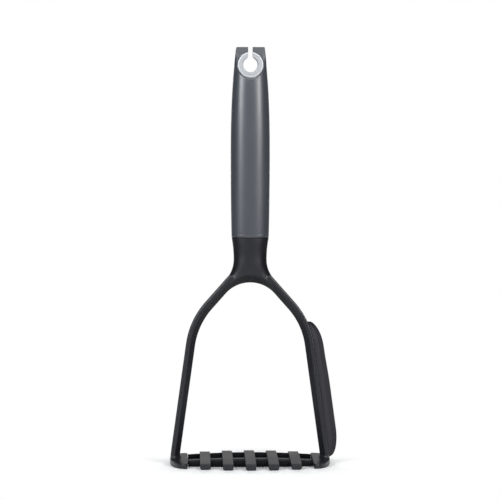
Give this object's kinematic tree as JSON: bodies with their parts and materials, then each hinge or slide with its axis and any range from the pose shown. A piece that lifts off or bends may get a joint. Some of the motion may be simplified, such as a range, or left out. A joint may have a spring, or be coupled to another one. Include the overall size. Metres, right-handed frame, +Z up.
{
  "type": "potato masher",
  "caption": "Upright potato masher: soft grip with a hanging eye, wishbone yoke, domed slatted plate with an oval outline, and a scraper blade along an arm.",
  "frame": {"origin": "under the middle of the mashing plate, on the flat underside that the masher stands on", "axes": "+Z up along the handle, +X towards the arm with the scraper blade, +Y towards the back, so the front faces -Y"},
  "size_m": [0.1158, 0.0734, 0.2887],
  "materials": {
    "nylon": "satin black glass-filled nylon",
    "scraper": "matte dark grey silicone",
    "soft_grip": "satin slate grey elastomer",
    "eye_insert": "satin pale grey polypropylene",
    "core": "dark grey polypropylene, hidden inside the grip"
  },
  "bodies": {
    "root": {"cross_rib_back": "nylon", "cross_rib_front": "nylon", "cross_rib_middle": "nylon", "foot_bar_left": "nylon", "foot_bar_right": "nylon", "grip_sleeve": "soft_grip", "handle_core": "core", "hanging_eye": "eye_insert", "scraper_blade": "scraper", "slat_1": "nylon", "slat_2": "nylon", "slat_3": "nylon", "slat_4": "nylon", "slat_5": "nylon", "yoke": "nylon"}
  },
  "joints": []
}
